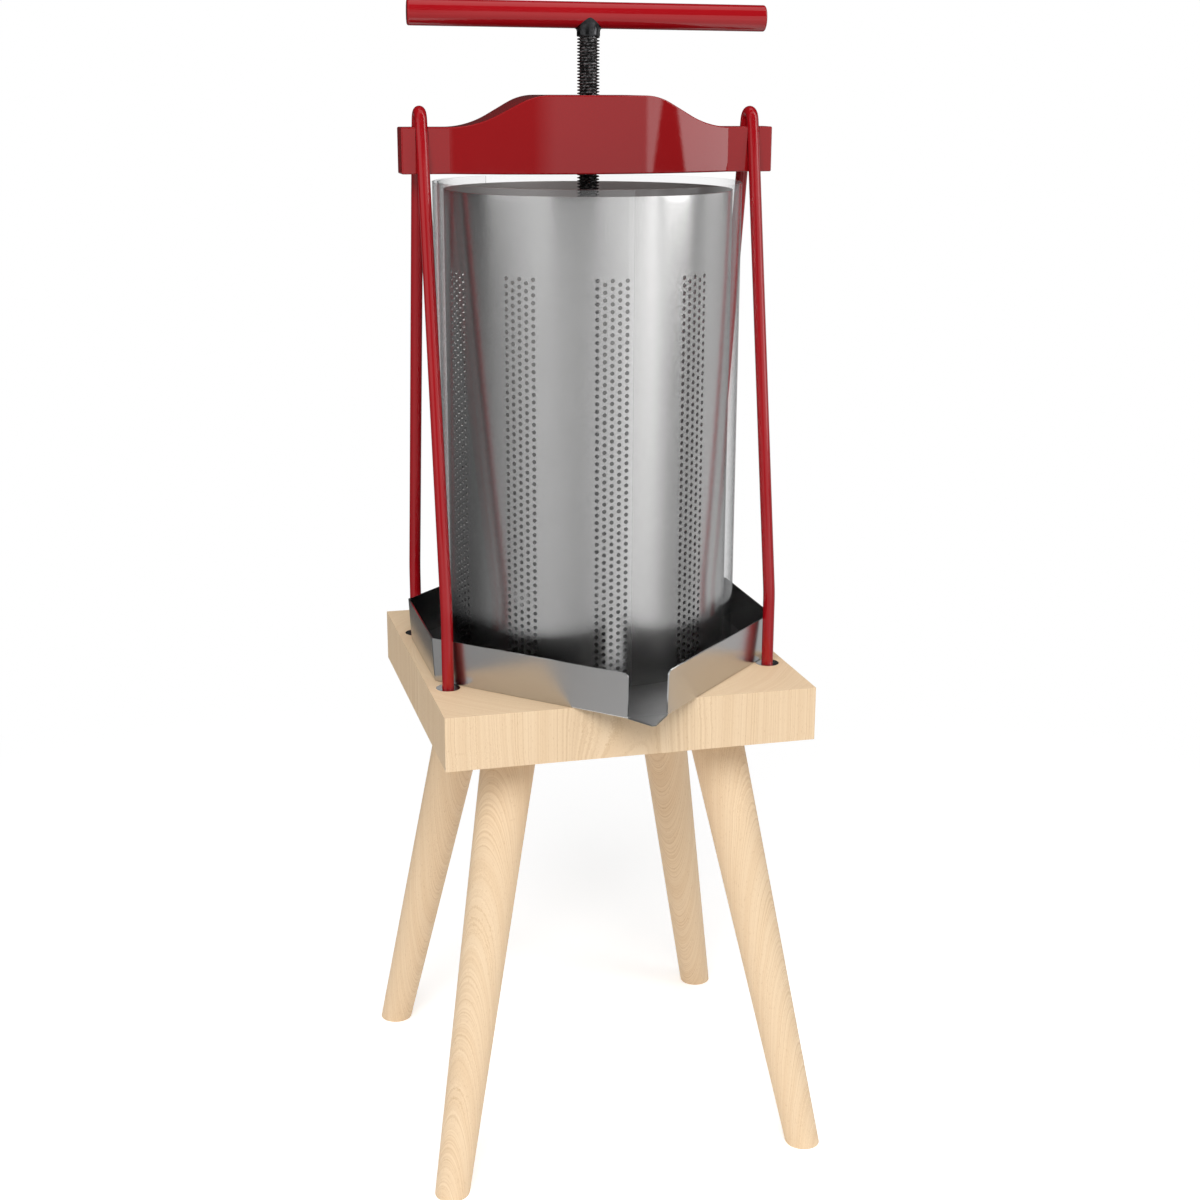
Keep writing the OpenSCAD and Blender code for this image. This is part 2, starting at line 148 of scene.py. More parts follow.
class Nodes:
    """A node tree under construction, with short calls for the nodes used here."""

    def __init__(self, tree):
        self.tree = tree

    def node(self, kind, **values):
        n = self.tree.nodes.new("ShaderNode" + kind)
        for key, value in values.items():
            setattr(n, key, value)
        return n

    def link(self, a, b):
        self.tree.links.new(a, b)

    def feed(self, socket, value):
        """Links what comes from a node, and sets anything else directly."""
        if isinstance(value, bpy.types.NodeSocket):
            self.link(value, socket)
        else:
            socket.default_value = value

    def place(self, scale=(1, 1, 1)):
        where = self.node("TexCoord")
        mapping = self.node("Mapping")
        mapping.inputs["Scale"].default_value = scale
        self.link(where.outputs["Object"], mapping.inputs["Vector"])
        return mapping.outputs[0]

    def far(self, vector):
        n = self.node("VectorMath", operation="LENGTH")
        self.link(vector, n.inputs[0])
        return n.outputs["Value"]

    def noise(self, vector, scale, detail=4.0, rough=0.55):
        n = self.node("TexNoise")
        n.inputs["Scale"].default_value = scale
        n.inputs["Detail"].default_value = detail
        n.inputs["Roughness"].default_value = rough
        self.link(vector, n.inputs["Vector"])
        return n.outputs["Fac"]

    def ramp(self, value, *stops):
        n = self.node("ValToRGB")
        ramp = n.color_ramp
        while len(ramp.elements) < len(stops):
            ramp.elements.new(0.5)
        for element, (at, colour) in zip(ramp.elements, stops):
            element.position = at
            element.color = (*colour, 1)
        self.link(value, n.inputs["Fac"])
        return n.outputs["Color"]

    def span(self, value, low, high, start=0.0, end=1.0, **values):
        n = self.node("MapRange", **values)
        n.inputs["From Min"].default_value = start
        n.inputs["From Max"].default_value = end
        n.inputs["To Min"].default_value = low
        n.inputs["To Max"].default_value = high
        self.link(value, n.inputs["Value"])
        return n.outputs[0]

    def math(self, how, a, b=0.0, c=0.0):
        n = self.node("Math", operation=how)
        for socket, value in zip(n.inputs, (a, b, c)):
            self.feed(socket, value)
        return n.outputs[0]

    def mix(self, how, factor, a, b):
        n = self.node("Mix", data_type="RGBA", blend_type=how)
        self.feed(n.inputs["Factor"], factor)
        self.link(a, n.inputs["A"])
        self.link(b, n.inputs["B"])
        return n.outputs["Result"]

    def seen(self, *rays):
        """One for the rays of these kinds, and zero for all others."""
        path = self.node("LightPath")
        value = path.outputs[rays[0]]
        for ray in rays[1:]:
            value = self.math("MAXIMUM", value, path.outputs[ray])
        return value

    def emission(self, strength, colour=(1, 1, 1, 1)):
        n = self.node("Emission")
        self.feed(n.inputs["Strength"], strength)
        self.feed(n.inputs["Color"], colour)
        return n.outputs[0]


class Paint(Nodes):
    """A material under construction."""

    def __init__(self, name):
        self.material = bpy.data.materials.new(name)
        self.material.use_nodes = True
        super().__init__(self.material.node_tree)
        self.shader = self.tree.nodes["Principled BSDF"]

    def set(self, **values):
        for key, value in values.items():
            self.feed(self.shader.inputs[key.replace("_", " ")], value)

    def bump(self, height, strength, distance):
        n = self.node("Bump")
        n.inputs["Strength"].default_value = strength
        n.inputs["Distance"].default_value = distance
        self.link(height, n.inputs["Height"])
        self.link(n.outputs[0], self.shader.inputs["Normal"])

    def surface(self, shader):
        self.link(shader, self.tree.nodes["Material Output"].inputs[0])


def world():
    """White to the camera, in shine and through clear pieces, and ambient light for the rest."""
    w = bpy.data.worlds.new("studio")
    bpy.context.scene.world = w
    w.use_nodes = True
    w.node_tree.nodes.clear()
    n = Nodes(w.node_tree)
    back = n.node("Background")
    back.inputs["Color"].default_value = (1, 1, 1, 1)
    seen = n.seen("Is Camera Ray", "Is Glossy Ray", "Is Transmission Ray")
    n.link(n.span(seen, ambient, 1.0), back.inputs["Strength"])
    n.link(back.outputs[0], n.node("OutputWorld").inputs[0])


def red_enamel(name, deep, light, rough):
    p = Paint(name)
    here = p.place()
    p.set(Base_Color=p.ramp(p.noise(here, 9.0), (0.30, deep), (0.72, light)),
          Roughness=p.span(p.noise(here, 60.0), rough, rough + 0.05))
    p.bump(p.noise(here, 300.0, 2.0), 0.05, 0.0002)
    return p.material


def satin_steel(name, dark, light, rough, metal=1.0, along=0.0):
    """Sheet brushed round the Z axis. The shine spreads across its lines as far as along says."""
    p = Paint(name)
    here, brushed = p.place(), p.place(scale=(1, 1, 26))
    tone = p.ramp(p.noise(here, 6.0), (0.3, dark), (0.7, light))
    lines = p.ramp(p.noise(brushed, 160.0, 3.0), (0.35, grey(0.86)), (0.65, grey(1)))
    p.set(Base_Color=p.mix("MULTIPLY", 0.35, tone, lines),
          Roughness=p.span(p.noise(here, 35.0), rough - 0.02, rough + 0.03),
          Metallic=metal, Anisotropic=along, Anisotropic_Rotation=0.25)
    p.bump(p.noise(brushed, 240.0, 2.0), 0.04, 0.0002)
    return p.material


def black_steel(name, dark, light, metal, relief):
    p = Paint(name)
    here = p.place()
    # Flecks of noise from the dark colour to the light one: random tone where the two are close,
    # painted glints where the light one is far paler, as on the thread
    p.set(Base_Color=p.ramp(p.noise(here, 420.0), (0.47, dark), (0.62, light)),
          Roughness=p.span(p.noise(here, 90.0), 0.12, 0.20), Metallic=metal)
    p.bump(p.noise(here, 420.0, 1.0), relief, 0.0008)
    return p.material


def bronze():
    p = Paint("bronze")
    here = p.place()
    dark, light = (0.42, 0.27, 0.10), (0.60, 0.42, 0.18)
    p.set(Base_Color=p.ramp(p.noise(here, 50.0), (0.3, dark), (0.7, light)),
          Roughness=p.span(p.noise(here, 120.0), 0.25, 0.42), Metallic=1.0)
    p.bump(p.noise(p.place(scale=(1, 1, 30)), 90.0, 2.0), 0.1, 0.0002)
    return p.material


def clear_film(name, tint, clear, rough):
    """A clear sheet that shines more, and shows more, where it turns away from the eye."""
    p = Paint(name)
    here = p.place()
    grazing = p.math("POWER", p.node("LayerWeight").outputs["Facing"], 5.0)
    shaded = tuple(v * 0.96 for v in tint)
    p.set(Alpha=p.span(grazing, clear, 0.9),
          Base_Color=p.ramp(p.noise(here, 5.0), (0.3, shaded), (0.7, tint)),
          Roughness=p.span(p.noise(here, 12.0), rough, rough + 0.04), Metallic=1.0)
    p.bump(p.noise(p.place(scale=(1, 1, 0.2)), 9.0, 2.0), 0.03, 0.002)
    return p.material


def wood():
    """Pale beech: growth rings round the Z axis, steady in places and flecked in others."""
    p = Paint("beech")
    here = p.place()
    drift = p.noise(p.place(scale=(1, 1, 0.3)), 11.0, 2.0)
    patches = p.span(p.noise(here, 14.0, 1.0), 0.1, 3.0, 0.47, 0.60)
    shiver = p.math("MULTIPLY", p.noise(here, 700.0, 2.0, 0.6), patches)
    growth = p.math("MULTIPLY_ADD", p.far(p.place(scale=(1, 1, 0))), 1700.0, shiver)
    growth = p.math("MULTIPLY_ADD", drift, 14.0, growth)

    def rings(scale, detail):
        n = p.node("TexNoise", noise_dimensions="1D")
        n.inputs["Scale"].default_value = scale
        n.inputs["Detail"].default_value = detail
        n.inputs["Roughness"].default_value = 0.6
        p.link(growth, n.inputs["W"])
        return n.outputs["Fac"]

    lines, years = rings(1.0, 2.0), rings(0.11, 3.0)
    pores = p.noise(p.place(scale=(1, 1, 0.3)), 1100.0, 2.0, 0.5)
    base = p.ramp(p.noise(p.place(scale=(1, 1, 0.4)), 8.0, 3.0),
                  (0.30, (0.87, 0.665, 0.45)), (0.70, (0.90, 0.70, 0.48)))
    for share, mark, start, end, colour in (
            (1.0, lines, 0.26, 0.62, (0.87, 0.82, 0.75)),
            (1.0, years, 0.32, 0.62, (0.965, 0.945, 0.92)),
            (0.4, pores, 0.27, 0.40, (0.72, 0.60, 0.47))):
        base = p.mix("MULTIPLY", share, base, p.ramp(mark, (start, colour), (end, grey(1))))
    p.set(Base_Color=base, Roughness=p.span(lines, 0.62, 0.48), Specular_IOR_Level=0.3)
    p.bump(p.math("ADD", lines, pores), 0.10, 0.0002)
    return p.material


# Mesh making
def raw_mesh(name, points, faces):
    mesh = bpy.data.meshes.new(name)
    mesh.from_pydata(points, [], faces)
    return mesh


def piece(name, points, faces, material, body, node_names=(), sharp=(), place=None):
    """A visible piece on a body, standing in for the CAD nodes that it names."""
    mesh = raw_mesh(name, points, faces)
    mesh.validate()
    mesh.polygons.foreach_set("use_smooth", [True] * len(mesh.polygons))
    if sharp:
        marks = mesh.attributes.new("sharp_edge", "BOOLEAN", "EDGE")
        for e in mesh.edges:
            if tuple(sorted(e.vertices)) in sharp:
                marks.data[e.index].value = True
    mesh.materials.append(material)
    obj = add(name, mesh)
    if place:
        obj.matrix_world = place
    if node_names:
        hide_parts(*node_names)
    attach(obj, body)
    return obj


def sharpen(obj, degrees):
    """Marks the edges that turn more than this as sharp."""
    bm = bmesh.new()
    bm.from_mesh(obj.data)
    limit = math.radians(degrees)
    for e in bm.edges:
        e.smooth = not (len(e.link_faces) == 2 and e.calc_face_angle() > limit)
    bm.to_mesh(obj.data)
    bm.free()


def even(obj):
    """Lets the large flat faces keep their own normals beside small rounds."""
    mod = obj.modifiers.new("even", "WEIGHTED_NORMAL")
    mod.keep_sharp = True
    mod.weight = 100


def circle(radius, steps, start=0.0):
    """Points of a circle in a plane, from the angle start on."""
    return [(radius * math.cos(2 * math.pi * t / steps + start),
             radius * math.sin(2 * math.pi * t / steps + start)) for t in range(steps)]


def arc(centre, radius, start, end, steps):
    """Points of an arc in a plane, angles in degrees."""
    angles = [math.radians(start + (end - start) * k / steps) for k in range(steps + 1)]
    return [(centre[0] + radius * math.cos(a), centre[1] + radius * math.sin(a)) for a in angles]


def loft(rows, closed_rows=True, caps=True):
    """Points and faces of a skin through rows of points, each row running round."""
    n, last = len(rows[0]), len(rows) - 1
    points = [p for row in rows for p in row]
    faces = []
    for k in range(last):
        a, b = k * n, (k + 1) * n
        for t in range(n if closed_rows else n - 1):
            u = (t + 1) % n
            faces.append((a + t, a + u, b + u, b + t))
    if caps:
        faces.append(tuple(range(n - 1, -1, -1)))
        faces.append(tuple(range(last * n, last * n + n)))
    return points, faces


def lathe(profile, steps=96, caps=True):
    """A turned skin about Z, from (radius, height) pairs running upwards."""
    return loft([[(x, y, z) for x, y in circle(r, steps)] for r, z in profile], caps=caps)


def rod(start, end, radius, steps=48):
    """A straight round bar between two points."""
    turn = (Vector(end) - Vector(start)).to_track_quat("Z", "X").to_matrix()
    around = [turn @ Vector((x, y, 0)) for x, y in circle(radius, steps)]
    return loft([[tuple(Vector(p) + v) for v in around] for p in (start, end)])


def cut(obj, *tools):
    """Cuts the tool meshes out of obj."""
    for points, faces in tools:
        tool = add("cutter", raw_mesh("cutter", points, faces))
        mod = obj.modifiers.new("cut", "BOOLEAN")
        mod.object = tool
        mod.operation = "DIFFERENCE"
        mod.solver = "EXACT"
        deps = bpy.context.evaluated_depsgraph_get()
        done = bpy.data.meshes.new_from_object(obj.evaluated_get(deps))
        obj.modifiers.clear()
        obj.data = done
        bpy.data.objects.remove(tool)


# Legs
def legs(material):
    lean = math.atan((foot_place - leg_place) * math.sqrt(2) / seat_base)
    length = seat_base / math.cos(lean) + foot_r
    neck = [(head_r + neck_r - neck_r * math.cos(math.radians(a)),
             -neck_start - neck_r * math.sin(math.radians(a))) for a in range(0, 19, 3)]
    steps, bevel = 40, 1 * MM
    taper = length + neck[-1][1] - 2 * MM
    profile = [(foot_r + (leg_r - foot_r) * k / steps, -length + taper * k / steps)
               for k in range(steps + 1)]
    profile += neck[::-1] + [(head_r, head_rise - bevel), (head_r - bevel, head_rise)]
    for name, x, y in (("front_left", -1, -1), ("front_right", 1, -1),
                       ("back_left", -1, 1), ("back_right", 1, 1)):
        place = (Matrix.Translation((x * leg_place, y * leg_place, seat_base))
                 @ Matrix.Rotation(math.atan2(y, x), 4, "Z") @ Matrix.Rotation(-lean, 4, "Y"))
        along = place.to_3x3() @ Vector((0, 0, 1))
        points, faces = lathe(profile)
        # What would reach below the floor is drawn up the leg to it
        for k, p in enumerate(points):
            p = place @ Vector(p)
            points[k] = tuple(p - along * (min(p.z, 0) / along.z))
        obj = piece("leg_" + name + "_turned", points, faces, material, "stand",
                    ["leg_" + name])
        sharpen(obj, 40)


# Bent rods
def rod_route():
    """The rod's centre line from one nut's end to the other, as y, z."""
    foot_steps, kink_steps, run_steps, bend_steps = 6, 8, 24, 40
    low = kink_low - kink_low_r * math.tan(rod_lean / 2)
    half = [(rod_y, rod_foot + (low - rod_foot) * k / foot_steps) for k in range(foot_steps)]
    half += [(rod_y - kink_low_r * (1 - math.cos(rod_lean * k / kink_steps)),
              low + kink_low_r * math.sin(rod_lean * k / kink_steps))
             for k in range(kink_steps + 1)]
    y, z = half[-1]
    half += [(y - (neck_z - z) * math.tan(rod_lean) * k / run_steps,
              z + (neck_z - z) * k / run_steps) for k in range(1, run_steps + 1)]
    sweep = math.pi - 2 * neck_lean
    bend = [(bend_r * math.cos(neck_lean + sweep * k / bend_steps),
             bend_z + bend_r * math.sin(neck_lean + sweep * k / bend_steps))
            for k in range(bend_steps + 1)]
    return half + bend + [(-y, z) for y, z in reversed(half)]


def stirrups(material):
    route = [Vector((0, y, z)) for y, z in rod_route()]
    sideways, sides = Vector((1, 0, 0)), 40
    for name, side in (("left", -1), ("right", 1)):
        rows = []
        for k, p in enumerate(route):
            ahead = (route[min(k + 1, len(route) - 1)] - route[max(k - 1, 0)]).normalized()
            across = sideways.cross(ahead) * -1
            centre = p + Vector((side * rod_x, 0, 0))
            rows.append([tuple(centre + sideways * rod_r * x + across * rod_r * y)
                         for x, y in circle(1.0, sides)])
        points, faces = loft(rows)
        obj = piece("bent_rod_" + name, points, faces, material, "stand",
                    ["stirrup_" + name])
        sharpen(obj, 60)


# Yoke
def yoke_top(x):
    """Height of the yoke over its underside at x."""
    x = abs(x)
    fall = boss_high - lug_high - (shoulder_r + hollow_r) * (1 - math.cos(shoulder_slope))
    round_x = boss_flat + shoulder_r * math.sin(shoulder_slope)
    slope_x = round_x + fall / math.tan(shoulder_slope)
    hollow_x = slope_x + hollow_r * math.sin(shoulder_slope)
    if x <= boss_flat:
        return boss_high
    if x <= round_x:
        return boss_high - shoulder_r + math.sqrt(shoulder_r ** 2 - (x - boss_flat) ** 2)
    if x <= slope_x:
        return (boss_high - shoulder_r * (1 - math.cos(shoulder_slope))
                - (x - round_x) * math.tan(shoulder_slope))
    if x <= hollow_x:
        return lug_high + hollow_r - math.sqrt(hollow_r ** 2 - (hollow_x - x) ** 2)
    return lug_high


def yoke_deep(x):
    """Half the yoke's depth at x."""
    if abs(x) >= belly_half:
        return lug_deep
    rise = boss_deep - lug_deep
    big = (belly_half ** 2 + rise ** 2) / rise / 2
    return max(lug_deep, boss_deep - big + math.sqrt(max(big ** 2 - x * x, 0)))


def yoke_row(x, round_r, shrink=0.0):
    """The yoke's cross-section at x, a rectangle with round corners, drawn in by shrink."""
    deep, top = yoke_deep(x) - shrink, yoke_top(x) - shrink
    ring = []
    for cy, cz, start in ((deep - round_r, top - round_r, 0), (round_r - deep, top - round_r, 90),
                          (round_r - deep, shrink + round_r, 180),
                          (deep - round_r, shrink + round_r, 270)):
        corner = arc((cy, cz), round_r, start, start + 90, 5)
        ring += [(x, y, yoke_base + z) for y, z in corner]
    return ring


def yoke(material):
    # Rows of the rounded ends, as shares of the round: how far in, and how much smaller
    ends = ((0.0, 1.0), (0.05, 0.69), (0.19, 0.41), (0.41, 0.19), (0.69, 0.05))

    def end_rows(side):
        return [yoke_row(side * (yoke_half - inset * yoke_round),
                         yoke_round * (1 - 0.9 * shrink), shrink * yoke_round)
                for inset, shrink in ends]

    stations = [-yoke_half + yoke_round] + [x * 2 * MM for x in range(-77, 78)]
    stations = sorted(set(stations + [yoke_half - yoke_round, -belly_half, belly_half]))
    rows = end_rows(-1) + [yoke_row(x, yoke_round) for x in stations] + end_rows(1)[::-1]
    points, faces = loft(rows)
    obj = piece("yoke_casting", points, faces, material, "stand", ["yoke"])

    # The spindle's bore, the bush's seat, and the grooves that the rods lie in
    deep = boss_high * 2
    cut(obj, lathe([(bore_r, yoke_base - deep), (bore_r, yoke_base + deep)], 64),
        lathe([(bush_r, yoke_base - bush_len), (bush_r, yoke_base + bush_len)], 64))
    slope = math.tan(groove_lean)
    near = rod_y - (yoke_base - kink_low) * slope
    for side in (-1, 1):
        for face in (-1, 1):
            start = (side * rod_x, face * (near + lug_high * slope), yoke_base - lug_high)
            end = (side * rod_x, face * (near - 2 * lug_high * slope), yoke_base + 2 * lug_high)
            cut(obj, rod(start, end, groove_r))
    bm = bmesh.new()
    bm.from_mesh(obj.data)
    bmesh.ops.recalc_face_normals(bm, faces=bm.faces)
    for e in bm.edges:
        crease = all(abs(abs(v.co.x) - belly_half) < 0.01 * MM for v in e.verts)
        turn = len(e.link_faces) == 2 and e.calc_face_angle() > math.radians(35)
        e.smooth = not (crease or turn)
    for f in bm.faces:
        f.smooth = True
    bm.to_mesh(obj.data)
    bm.free()
    even(obj)


# Spindle
def thread(material):
    """One skin wound up the spindle, each row running across one pitch of the thread."""
    steps, shape = 40, ((0.0, 0.0), (0.13, 0.0), (0.38, 1.0), (0.62, 1.0), (0.87, 0.0), (1.0, 0.0))
    turns = math.ceil((thread_top - thread_base) / thread_pitch) + 1
    crest, plain, run_in = spindle_r - 0.01 * MM, spindle_r - 0.02 * MM, 0.9
    rows = []
    for k in range(turns * steps + 1):
        a = 2 * math.pi * k / steps
        row = []
        for across, depth in shape:
            z = thread_base - thread_pitch + thread_pitch * (k / steps + across)
            r = plain if z > thread_top else crest - (spindle_r - thread_root) * depth
            r = min(r, thread_root + max(z - thread_base, 0) * run_in)
            z = min(max(z, thread_base), thread_top + 0.4 * MM)
            row.append((r * math.cos(a), r * math.sin(a), z))
        rows.append(row)
    points, faces = loft(rows, closed_rows=False, caps=False)
    piece("spindle_thread", points, faces, material, "screw", ["spindle"])


def shank(material):
    """The plain collar over the thread, with the weld that joins it to the handle's round."""
    around = 72
    cs, sn = math.cos(handle_turn), math.sin(handle_turn)

    def weld(along, across, drop):
        row = []
        for x, y in circle(1.0, around):
            u, v = along * x, across * y
            z = handle_z - math.sqrt(max(handle_r ** 2 - v * v, 0)) - drop
            row.append((u * cs - v * sn, u * sn + v * cs, z))
        return row

    rows = [[(x, y, z) for x, y in circle(r, around, handle_turn)]
            for r, z in ((spindle_r, thread_top - 0.2 * MM), (collar_r, thread_top + 0.3 * MM),
                         (collar_r, thread_top + 1.5 * MM))]
    rows += [weld(collar_r + along * MM, collar_r + across * MM, drop * MM)
             for along, across, drop in ((0, 0, 2.2), (0.4, 0.4, 0.9), (0.9, 0.6, 0.3),
                                         (2.0, 0.7, -0.05))]
    points, faces = loft(rows, caps=False)
    piece("spindle_shank", points, faces, material, "screw")


def journal(material):
    """The spindle's foot in the hub, with the groove that the fork sits in."""
    groove_base, groove_top = hub_top - 0.3 * MM, hub_top + 2.7 * MM
    profile = [(journal_r - 1 * MM, hub_base + 4.3 * MM), (journal_r, hub_base + 5.3 * MM),
               (journal_r, groove_base), (journal_groove, groove_base),
               (journal_groove, groove_top), (journal_r, groove_top), (journal_r, thread_base),
               (thread_root, thread_base), (thread_root, thread_base + 1 * MM)]
    points, faces = lathe(profile, 64)
    sharpen(piece("spindle_journal", points, faces, material, "screw"), 30)


def handle(material):
    face_r = handle_r - handle_bevel
    profile = [(face_r - 4 * MM, -handle_half)]
    profile += arc((face_r, handle_bevel - handle_half), handle_bevel, -90, 0, 6)
    profile += [(r, -z) for r, z in reversed(profile)]
    place = (Matrix.Translation((0, 0, handle_z)) @ Matrix.Rotation(handle_turn, 4, "Z")
             @ Matrix.Rotation(math.pi / 2 + handle_tilt, 4, "Y"))
    points, faces = lathe(profile)
    obj = piece("handle_tube", points, faces, material, "screw", ["handle_bar"],
                place=place)
    sharpen(obj, 50)
    even(obj)


# Basket, a sheet with all its holes
def basket(material, inner):
    half, plain_columns, plain_levels, hole_sides = hole_pitch / 2, 8, 10, 16
    rest = 2 * math.pi / strips - columns * column_step
    angles = []
    for s in range(strips):
        start = strip_turn + s * 2 * math.pi / strips - columns * column_step / 2
        angles += [start + c * column_step for c in range(columns)]
        angles += [start + columns * column_step + rest * k / plain_columns
                   for k in range(plain_columns)]
    rim, foot = floor_z + basket_high, floor_z
    upper = hole_top + half
    levels = [rim, rim - rim_round]
    levels += [rim - (rim - upper) * k / plain_levels for k in range(1, plain_levels)]
    first = len(levels)
    levels += [upper - half * m for m in range(2 * hole_rows + 1)]
    levels += [foot + rim_round, foot]
    points, faces, inside, sharp, outer_ring = [], [], set(), set(), {}

    def at(a, z, side):
        r = basket_r - side * basket_sheet
        if z in (rim, foot):
            r += (side * 2 - 1) * rim_round
        points.append((r * math.sin(a), -r * math.cos(a), z))
        return len(points) - 1

    def skin(loop, side):
        if side:
            inside.add(len(faces))
        faces.append(tuple(reversed(loop)) if side else tuple(loop))

    def holed(column, m):
        """Whether a hole's cell starts at level m. Every other column is half a pitch lower."""
        k, shift = m - first, column % 2
        return column < columns and k >= shift and (k - shift) % 2 == 0 and k + 2 <= 2 * hole_rows

    def hole(i, m, left, right, side):
        """A hole and the sheet round it, over two levels. The outer skin comes before the inner."""
        middle, z = angles[i] + column_step / 2, levels[m + 1]
        ring = [at(middle + x / basket_r, z + y, side) for x, y in circle(hole_r, hole_sides)]
        if side == 0:
            outer_ring[(i, m)] = ring
        else:
            front = outer_ring[(i, m)]
            for t in range(hole_sides):
                u = (t + 1) % hole_sides
                faces.append((front[t], front[u], ring[u], ring[t]))
                sharp.add(tuple(sorted((front[t], front[u]))))
                sharp.add(tuple(sorted((ring[t], ring[u]))))
        # Each edge of the cell, with the first and last point of the hole that it faces
        cell = ((right[m + 1], right[m], 0, 2), (right[m], left[m], 2, 6),
                (left[m], left[m + 1], 6, 8), (left[m + 1], left[m + 2], 8, 10),
                (left[m + 2], right[m + 2], 10, 14), (right[m + 2], right[m + 1], 14, 16))
        for a, b, t0, t1 in cell:
            skin((a, b) + tuple(ring[t % hole_sides] for t in range(t1, t0 - 1, -1)), side)

    grid = [[[at(a, z, side) for z in levels] for a in angles] for side in (0, 1)]
    count, last = len(angles), len(levels) - 1
    for i in range(count):
        j = (i + 1) % count
        column = i % (columns + plain_columns)
        for side in (0, 1):
            left, right = grid[side][i], grid[side][j]
            m = 0
            while m < last:
                if holed(column, m):
                    hole(i, m, left, right, side)
                    m += 2
                else:
                    skin((left[m + 1], right[m + 1], right[m], left[m]), side)
                    m += 1
        for m in (0, last):
            loop = (grid[0][i][m], grid[0][j][m], grid[1][j][m], grid[1][i][m])
            faces.append(loop if m == 0 else tuple(reversed(loop)))
    obj = piece("basket_sheet", points, faces, material, "stand", ["basket"], sharp)
    # The inner skin takes the second material, painted darker than the outer skin: painted shade
    # inside the basket
    obj.data.materials.append(inner)
    for k in inside:
        obj.data.polygons[k].material_index = 1
    even(obj)


# Guard, one film rolled round the basket
def guard_r(a):
    """Middle radius of the film at the angle a from its outer edge."""
    if a < math.pi:
        return guard_out + (guard_mid - guard_out) * a / math.pi
    return guard_mid + (guard_in - guard_mid) * (a - math.pi) / (guard_span - math.pi)


def guard(material, edge):
    steps, rises = 255, 12
    heights = [floor_z + guard_high * k / rises for k in range(rises + 1)]
    n = len(heights)
    points, faces = [], []

    def skin(offset):
        start = len(points)
        for k in range(steps + 1):
            a = guard_span * k / steps
            r = guard_r(a) + offset
            for z in heights:
                points.append((r * math.sin(guard_turn - a), -r * math.cos(guard_turn - a), z))
        return start

    outer, inner = skin(film / 2), skin(-film / 2)
    for k in range(steps):
        for h in range(rises):
            a, b = outer + k * n + h, outer + (k + 1) * n + h
            faces.append((a, a + 1, b + 1, b))
            a, b = inner + k * n + h, inner + (k + 1) * n + h
            faces.append((a, b, b + 1, a + 1))
    skins = len(faces)
    for k in range(steps):
        for h in (rises, 0):
            a, b = k * n + h, (k + 1) * n + h
            loop = (outer + a, inner + a, inner + b, outer + b)
            faces.append(loop if h else tuple(reversed(loop)))
    for k in (0, steps):
        for h in range(rises):
            a, b = outer + k * n + h, inner + k * n + h
            loop = (a, b, b + 1, a + 1)
            faces.append(tuple(reversed(loop)) if k else loop)
    obj = piece("guard_roll", points, faces, material, "stand", ["guard_film"])
    obj.data.materials.append(edge)
    for k, polygon in enumerate(obj.data.polygons):
        if k >= skins:
            polygon.material_index = 1
    sharpen(obj, 40)


# Tray, folded from one sheet
def tray(walls, floor_painted_shade, edge_painted_highlight):
    def outline(w):
        """The open octagon at half width w, from one side of the mouth round to the other."""
        d = w * math.sqrt(2)
        end = tray_foot * math.sqrt(2) - mouth
        right = [(end, end - d), (w, w - d), (w, d - w), (d - w, w)]
        return right + [(-x, y) for x, y in reversed(right)]

    bm = bmesh.new()
    low = [bm.verts.new((x, y, seat_top)) for x, y in outline(tray_foot)]
    top = [bm.verts.new((x, y, seat_top + tray_high)) for x, y in outline(tray_top)]
    # The floor takes the second material, painted shade
    bm.faces.new(low).material_index = 1
    for k in range(1, 6):
        bm.faces.new((low[k], top[k], top[k + 1], low[k + 1])[::-1])

    # The two walls beside the mouth, whose upper corners are rounded
    for end, near, flip in ((0, 1, False), (7, 6, True)):
        foot_v, rim_v, far = low[end].co, top[end].co, top[near].co
        down = (foot_v - rim_v).normalized()
        along = (far - rim_v).normalized()
        centre = rim_v + (down + along) * tray_corner
        curve = []
        for degrees in range(0, 91, 15):
            a = math.radians(degrees)
            curve.append(bm.verts.new(centre - along * tray_corner * math.cos(a)
                                      - down * tray_corner * math.sin(a)))
        loop = [low[end]] + curve + [top[near], low[near]]
        bm.faces.new(loop if flip else loop[::-1])
    bm.verts.remove(top[0])
    bm.verts.remove(top[7])
    tip = [bm.verts.new((x, -mouth - lip_len, seat_top - lip_drop)) for x in (-lip_tip, lip_tip)]
    # The lip takes the floor's material too, painted shade
    bm.faces.new((low[7], tip[0], tip[1], low[0])).material_index = 1
    bmesh.ops.recalc_face_normals(bm, faces=bm.faces)
    mesh = bpy.data.meshes.new("tray_fold")
    bm.to_mesh(mesh)
    bm.free()
    obj = add("tray_folded", mesh)
    # The rim of a face has the material two places on: on the walls a lighter steel, a painted
    # highlight along the cut edges, and on the floor its own darker steel, painted shade
    for material in (walls, floor_painted_shade, edge_painted_highlight, floor_painted_shade):
        mesh.materials.append(material)

    def bevel(name, width, segments, degrees):
        mod = obj.modifiers.new(name, "BEVEL")
        mod.width, mod.segments, mod.limit_method = width, segments, "ANGLE"
        mod.angle_limit = math.radians(degrees)

    bevel("folds", 0.9 * MM, 4, 15)
    thick = obj.modifiers.new("sheet", "SOLIDIFY")
    thick.thickness = tray_sheet
    thick.offset = -1.0
    thick.material_offset_rim = 2
    thick.use_even_offset = True
    thick.use_quality_normals = True
    bevel("edges", 0.25 * MM, 2, 60)
    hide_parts("tray")
    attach(obj, "stand")


# The CAD nodes that stay
def finish_nodes(materials):
    for node_name, material in materials.items():
        mesh = nodes[node_name].data
        mesh.materials.clear()
        mesh.materials.append(material)


